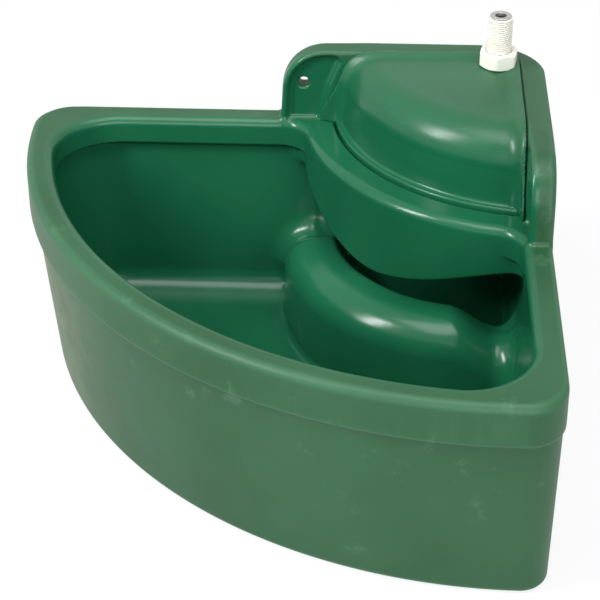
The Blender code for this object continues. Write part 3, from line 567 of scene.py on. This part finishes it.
nut, _ = moulded("inlet_back_nut_moulded", nut_field, (-19, -19, 65), (19, 19, 82),
                 ((0.6, 0.6, 0.3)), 60000, VALVE)
nut_white = aged_white("nylon_nut_finish", (0.8, 0.8, 0.7, 1), 0.35)
fitted(nut, "cover", "inlet_back_nut", nut_white)


# The seal between the valve's shoulder and the cover: a flat ring of black rubber, with its edges softened
# by the squeeze of the nut.
def softened(profile, radius, endless):
    """A profile of (radius, height) points with each corner turned by a short curve."""
    path = np.array(profile, float)
    if endless:
        path = np.vstack([path[-1], path, path[0]])
    soft = [] if endless else [path[0]]
    for before, corner, after in zip(path, path[1:], path[2:]):
        back, on = before - corner, after - corner
        cut = min(radius, 0.45 * np.hypot(*back), 0.45 * np.hypot(*on))
        start, end = corner + cut * back / np.hypot(*back), corner + cut * on / np.hypot(*on)
        soft += [(1 - t) ** 2 * start + 2 * t * (1 - t) * corner + t * t * end for t in (0, 0.25, 0.5, 0.75, 1)]
    return np.array(soft if endless else soft + [path[-1]])


def turned(name, profile, place, sides=96, endless=False, soft=0.3):
    """A profile revolved about the place's Z. A radius of 0 closes to a pole. Its UV map is the turn and
    the height in centimetres."""
    path = softened(profile, soft, endless) if soft else np.array(profile, float)
    angles = tau * np.arange(sides) / sides
    rows, points, count = [], [], 0
    for radius, height in path:
        ring = np.stack([radius * np.cos(angles), radius * np.sin(angles), np.full(sides, height)], 1)
        ring = ring if radius > 1e-6 else ring[:1]
        rows.append(count + np.arange(sides) % len(ring))
        points.append(ring)
        count += len(ring)
    points = np.concatenate(points)
    faces, turns = [], []
    pairs = list(zip(rows, rows[1:])) + ([(rows[-1], rows[0])] if endless else [])
    for low, high in pairs:
        for k in range(sides):
            after = (k + 1) % sides
            corners = {low[k]: k, low[after]: k + 1}
            corners.update({high[after]: k + 1, high[k]: k} if len(set(high)) > 1 else {high[0]: k + 0.5})
            faces.append(list(corners))
            turns.append(list(corners.values()))
    solid = sum(np.dot(points[f[0]], np.cross(points[f[i]], points[f[i + 1]])) for f in faces
                for i in range(1, len(f) - 1))
    if solid < 0:
        faces, turns = [f[::-1] for f in faces], [t[::-1] for t in turns]
    made = mesh_of(name, points, [[int(index) for index in f] for f in faces], place)
    layer = made.data.uv_layers.new(name="turn")
    uv = [(turn / sides, points[index][2] / 10) for f, t in zip(faces, turns) for index, turn in zip(f, t)]
    layer.data.foreach_set("uv", np.array(uv).ravel())
    made.data.set_sharp_from_angle(angle=radians(50))
    return made


def rubbery(name, dust):
    """Black rubber with a grey bloom."""
    finish = Finish(name)
    bloom, grain = finish.noise(160, 5), finish.noise(1800, 2)
    colour = finish.mix(bloom.ramp(0.4, 0.75) * dust, (0.012, 0.012, 0.013, 1), (0.09, 0.09, 0.085, 1))
    finish.feed(finish.shader, {"Base Color": colour, "Roughness": 0.55 + bloom * 0.25,
                                "Normal": finish.bump(grain, 0.00003)})
    return finish.material


rubber = rubbery("black_rubber_finish", 0.6)
profile = [(11.1, 58.9), (15.5, 58.9), (15.5, 61.2), (11.1, 61.2)]
seal = turned("valve_seal_ring", profile, VALVE, endless=True, soft=0.6)
fitted(seal, "cover", "valve_seal", rubber)


# The seat: a pressed-in acetal nozzle whose raised lip the piston's pad closes.
ARM_TRAVEL = radians(22.5)
ARM_RISE = 10 * sin(ARM_TRAVEL / 2)
PISTON_LOW = PIVOT[2] - ARM_RISE + 3.3
PAD_TOP = PISTON_LOW + 21.3
SEAT_TIP = PAD_TOP + 2 * ARM_RISE + 0.3
profile = [(2.5, SEAT_TIP), (4, SEAT_TIP), (5, SEAT_TIP + 3), (7.7, SEAT_TIP + 3), (7.7, CYLINDER_TOP - 0.3),
           (2.5, CYLINDER_TOP - 0.3)]
seat = turned("valve_seat_nozzle", profile, VALVE, endless=True)
fitted(seat, "cover", "valve_seat", valve_white)


# The strainer: a cup of woven stainless wire under a rolled rim, dropped into the tail's bore. The weave is
# cut out by the finish, between wires that run round and along the cup.
def woven(name):
    """Steel with square holes below the rim, from the turn and the height on the UV map."""
    finish = Finish(name, Metallic=1.0)
    turn, height, _ = finish.split(finish.node("ShaderNodeUVMap", {"uv_map": "turn"}))
    across = turn.maths("FRACT", turn * 44)
    along = height.maths("FRACT", height * 12)
    hole = across.ramp(0.34, 0.4) * along.ramp(0.34, 0.4) * (1 - height.ramp(10.85, 10.86))
    dull = finish.noise(700, 4)
    finish.feed(finish.shader, {"Base Color": finish.mix(dull, (0.36, 0.35, 0.33, 1), (0.62, 0.61, 0.59, 1)),
                                "Roughness": 0.25 + dull * 0.2, "Alpha": 1 - hole,
                                "Normal": finish.bump(dull, 0.00002)})
    return finish.material


profile = [(0, 82), (4.6, 82), (5.6, 109), (5.6, 110.3), (9, 110.3), (9, 111.3), (4.8, 111.3), (3.8, 83), (0, 83)]
strainer = turned("inlet_strainer_cup", profile, VALVE)
fitted(strainer, "cover", "inlet_strainer", woven("woven_steel_finish"))


# The piston: an acetal plunger with a wider head, that the arm's nose lifts up its cylinder.
low, top = PISTON_LOW, PISTON_LOW + 20
profile = [(0, low), (4.5, low), (5, low + 0.5), (5, top - 10), (7.6, top - 10), (7.6, top - 6.6), (7.1, top - 6),
           (7.1, top - 5), (7.6, top - 4.4), (7.6, top), (6.6, top), (6.6, top - 2), (0, top - 2)]
piston = turned("piston_turned", profile, VALVE)
fitted(piston, "piston", "piston", valve_white)


# The pad: a disc of black rubber let into the piston's head, that closes the seat.
profile = [(0, PAD_TOP - 3), (6.3, PAD_TOP - 3), (6.3, PAD_TOP), (0, PAD_TOP)]
pad = turned("piston_pad_disc", profile, VALVE, soft=0.5)
fitted(pad, "piston", "piston_pad", rubber)


# The pivot pin: drawn stainless, with an upset head and a groove for its clip. It lies across the ears.
def drawn(name, low, high):
    """Drawn or stamped steel, with fine die lines and a dull film."""
    finish = Finish(name, Metallic=1.0)
    lines = finish.noise(60, 6, 0.7, finish.node("ShaderNodeMapping", None, {0: finish.place(), 3: (30, 1, 30)}))
    film = finish.noise(240, 4)
    finish.feed(finish.shader, {"Base Color": finish.mix(film, low, high), "Roughness": 0.2 + lines * 0.22,
                                "Normal": finish.bump(lines, 0.00002)})
    return finish.material


steel = drawn("stainless_finish", (0.42, 0.41, 0.4, 1), (0.66, 0.65, 0.63, 1))
ACROSS = (VALVE[0] + PIVOT @ VALVE[1], np.array([[1, 0, 0], [0, 0, -1], [0, 1, 0]]) @ VALVE[1])
profile = [(0, -9.8), (3.2, -9.8), (3.2, -8), (2, -8), (2, 7.9), (1.75, 8), (1.75, 9), (2, 9.1), (2, 10.5),
           (0, 10.5)]
pin = turned("pivot_pin_drawn", profile, ACROSS, 64, soft=0.4)
fitted(pin, "cover", "pivot_pin", steel)


# The pin's clip: a dished ring of spring steel.
profile = [(2.3, 8), (3.4, 8.05), (4, 8.3), (4, 9), (3.4, 8.75), (2.3, 8.7)]
clip = turned("pin_clip_ring", profile, ACROSS, 64, True, 0.15)
fitted(clip, "cover", "pin_clip", steel)


# The float arm: a moulded acetal lever. Its hub turns on the pin, its nose lifts the piston, and the ball
# screws on the thread at its far end.
ARM_DROP = radians(33.8)
swing = np.array([[cos(ARM_DROP), 0, -sin(ARM_DROP)], [0, 1, 0], [sin(ARM_DROP), 0, cos(ARM_DROP)]])
ARM = (ACROSS[0], swing @ VALVE[1])
NOSE = (10 * cos(ARM_DROP - ARM_TRAVEL / 2), 10 * sin(ARM_DROP - ARM_TRAVEL / 2))


def arm_field(x, y, z):
    """Hub, waisted bar, nose and threaded stem, less the hub's bore."""
    hub = rounded(np.hypot(x, z) - 4, np.abs(y) - 4.2, 0.5)
    bar = rounded(np.abs(z) - np.interp(x, (44, 47), (2.5, 1.5)), np.abs(y) - 3.4, 0.5)
    bar = rounded(bar, np.abs(x - 23.5) - 23.5, 0.5)
    waist = rounded(rounded(np.abs(z) - 1.5, np.abs(x - 25) - 14, 0.6), 2.5 - np.abs(y), 0.1)
    bar = rounded(bar, -waist, 0.2)
    nose = rounded(np.hypot(x - NOSE[0], z - NOSE[1]) - 3, np.abs(y) - 3, 0.5)
    thread = 2.5 + np.clip(np.minimum(x - 48, 65.6 - x), 0, 1) * screw(0, 0.8, 0.4, y, z, x)
    stem = rounded(0.75 * (np.hypot(y, z) - thread), np.abs(x - 54) - 12, 0.4)
    form = joined(joined(joined(hub, bar, 0.8), nose, 0.8), stem, 0.5)
    return rounded(form, PIN_HOLE - np.hypot(x, z), 0.3)


arm, _ = moulded("float_arm_moulded", arm_field, (-5, -5, -5), (67, 5, 8),
                 ((0.24, 0.4, 0.4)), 60000, ARM)
fitted(arm, "float_arm", "float_arm", valve_white)


# The lock nut: a small brass hexagon that jams against the ball's boss.
def brassy(name):
    """Turned brass, browned in patches by the wet."""
    finish = Finish(name, Metallic=1.0)
    film, grain = finish.noise(220, 5), finish.noise(1500, 3)
    colour = finish.mix(film.ramp(0.35, 0.75), (0.78, 0.55, 0.24, 1), (0.32, 0.2, 0.09, 1))
    finish.feed(finish.shader, {"Base Color": colour, "Roughness": 0.22 + film * 0.3,
                                "Normal": finish.bump(grain, 0.00002)})
    return finish.material


def lock_field(x, y, z):
    """The small hexagon, less its bore."""
    return rounded(hexagon(x, y, z, 4.0, 47.6, 51.6, 0.0), 2.8 - np.hypot(x, y), 0.25)


STEM = (ARM[0], np.array([[0, 0, -1], [0, 1, 0], [1, 0, 0]]) @ ARM[1])
lock, _ = moulded("float_lock_nut_turned", lock_field, (-5.5, -5.5, 47), (5.5, 5.5, 52.4),
                  0.3, 20000, STEM)
fitted(lock, "float_arm", "float_lock_nut", brassy("brass_finish"))


# The ball: two acetal half shells welded at a raised seam, hollow, with a bored boss for the arm's thread.
ARM_LENGTH, BALL_RADIUS = 88.0, 31.0


def sphere(radius, start, end, count):
    """Profile points along a sphere about the ball's middle."""
    return [(radius * sin(a), ARM_LENGTH + radius * cos(a)) for a in np.linspace(start, end, count)]


within = BALL_RADIUS - 2
profile = [(0, ARM_LENGTH + within)] + sphere(within, 0.05, pi - asin(2.8 / within), 28)
profile += [(2.8, 52), (5.7, 52), (6, 52.3)] + sphere(BALL_RADIUS, pi - asin(6 / BALL_RADIUS), pi / 2 + 0.05, 24)
profile += [(31.6, ARM_LENGTH - 1), (31.8, ARM_LENGTH - 0.7), (31.8, ARM_LENGTH + 0.7), (31.6, ARM_LENGTH + 1)]
profile += sphere(BALL_RADIUS, pi / 2 - 0.05, 0.05, 24) + [(0, ARM_LENGTH + BALL_RADIUS)]
ball = turned("float_ball_welded", profile, STEM, soft=0)
ball_white = aged_white("float_finish", (0.7, 0.68, 0.55, 1), 0.0)
fitted(ball, "float_arm", "float_ball", ball_white)


# The drain bung: a grey plug with a tapered stem, a flange that sits in the floor's recess and a pull tab.
DRAIN = (np.array([DRAIN_AT, DRAIN_AT, FLOOR]), np.array([[HALF, HALF, 0], [-HALF, HALF, 0], [0, 0, 1]]))


def plug_field(x, y, z):
    """Stem, flange and tab, less the tab's finger hole."""
    reach = np.hypot(x, y)
    stem = rounded(reach - np.interp(z, (-9, -7), (13.6, 14.5)), np.abs(z + 4) - 5, 0.5)
    flange = rounded(reach - np.interp(z, (1, 2.5), (18.8, 16.8)), np.abs(z - 0.7) - 1.8, 0.5)
    tab = np.where(z > 8, np.hypot(x, z - 8) - 8, np.abs(x) - 8)
    tab = rounded(rounded(tab, np.abs(y) - 2.2, 1.2), 1 - z, 0.2)
    form = joined(joined(stem, flange, 0.4), tab, 0.8)
    return rounded(form, 3.5 - np.hypot(x, z - 8.5), 0.8)


def grey_plastic(name):
    """Injection-moulded grey plastic, with a film of dried algae and lime."""
    finish = Finish(name)
    film, grain = finish.noise(130, 5), finish.noise(1300, 3)
    colour = finish.mix(film.ramp(0.5, 0.8), (0.075, 0.08, 0.08, 1), (0.16, 0.17, 0.13, 1))
    finish.feed(finish.shader, {"Base Color": colour, "Roughness": 0.4 + film * 0.25,
                                "Normal": finish.bump(grain, 0.00004)})
    return finish.material


plug, _ = moulded("drain_plug_moulded", plug_field, (-20, -20, -10), (20, 20, 17.5), 0.6,
                  60000, DRAIN)
fitted(plug, "drain_plug", "drain_plug", grey_plastic("plug_grey_finish"))


# The bung's seal: a square ring of black rubber under its flange.
profile = [(15, -3.2), (18.6, -3.2), (18.6, -1.4), (15, -1.4)]
ring = turned("drain_seal_ring", profile, DRAIN, endless=True, soft=0.5)
fitted(ring, "drain_plug", "drain_seal", rubber)


# The set: a white floor that runs out of sight under soft lamps, and the camera at the photograph's angle.
# The camera, gloss and clear plastic see the floor and the world as white, which lights nothing.
def whitened(nodes, surface, kind, share, target):
    """Mixes a surface with plain white where only the camera, gloss and transmission rays meet it."""
    path = nodes.tree.nodes.new("ShaderNodeLightPath")
    rays = ("Camera", "Glossy", "Transmission")
    camera, gloss, through = (Wire(nodes, path.outputs[f"Is {ray} Ray"]) for ray in rays)
    seen = camera.maths("ADD", camera + gloss, through, clamp=True) * share
    glow = nodes.node(kind, None, {"Color": (1, 1, 1, 1), "Strength": 1.0})
    mixed = nodes.node("ShaderNodeMixShader", None, {0: seen, 1: surface, 2: glow})
    nodes.tree.links.new(mixed.socket, nodes.tree.nodes[target].inputs["Surface"])


corners = [(-1, -1), (1, -1), (1, 1), (-1, 1)]
FLOOR_REACH = 30000.0
floor = mesh_of("floor", np.array([(FLOOR_REACH * x, FLOOR_REACH * y, -RIM_HEIGHT - 0.5) for x, y in corners]),
                [(0, 1, 2, 3)])
floor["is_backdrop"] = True
floor_finish = Finish("floor_white", Base_Color=(0.88, 0.88, 0.88, 1), Roughness=0.9)
lit_floor = Wire(floor_finish, floor_finish.shader.outputs[0])
whitened(floor_finish, lit_floor, "ShaderNodeEmission", 0.86, "Material Output")
floor.data.materials.append(floor_finish.material)

world = bpy.data.worlds.new("studio")
bpy.context.scene.world = world
sky = Nodes(world)
sky.feed(sky.tree.nodes["Background"], {"Color": (1, 1, 1, 1), "Strength": 0.3})
whitened(sky, Wire(sky, sky.tree.nodes["Background"].outputs[0]), "ShaderNodeBackground", 1.0, "World Output")


def lamp(name, turn, rise, far, wide, tall, power):
    """A soft box that faces the object: its bearing from the camera's side, height angle, distance, size."""
    data = bpy.data.lights.new(name, "AREA")
    data.shape, data.size, data.size_y, data.energy = "RECTANGLE", wide, tall, power
    made = bpy.data.objects.new(name, data)
    turn, rise = radians(turn), radians(rise)
    out = Vector((sin(turn) * cos(rise), -cos(turn) * cos(rise), sin(rise)))
    made.location = out * far + Vector((0, 0, 0.12))
    made.rotation_euler = (-out).to_track_quat("-Z", "Y").to_euler()
    bpy.context.collection.objects.link(made)


lamp("key", -66, 38, 2.4, 0.32, 1.1, 46)
lamp("front", 14, 16, 3.0, 2.8, 1.4, 48)
lamp("top", 15, 77, 2.6, 2.4, 1.5, 56)

camera_data = bpy.data.cameras.new("camera")
camera_data.sensor_width, camera_data.lens = 36, 116.57
camera = bpy.data.objects.new("camera", camera_data)
camera.location = (0.07733, -1.30911, 0.97378)
camera.rotation_euler = (radians(57.03), 0, radians(2.445))
bpy.context.collection.objects.link(camera)
bpy.context.scene.camera = camera
bpy.context.scene.view_settings.view_transform = "Standard"

low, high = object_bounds()
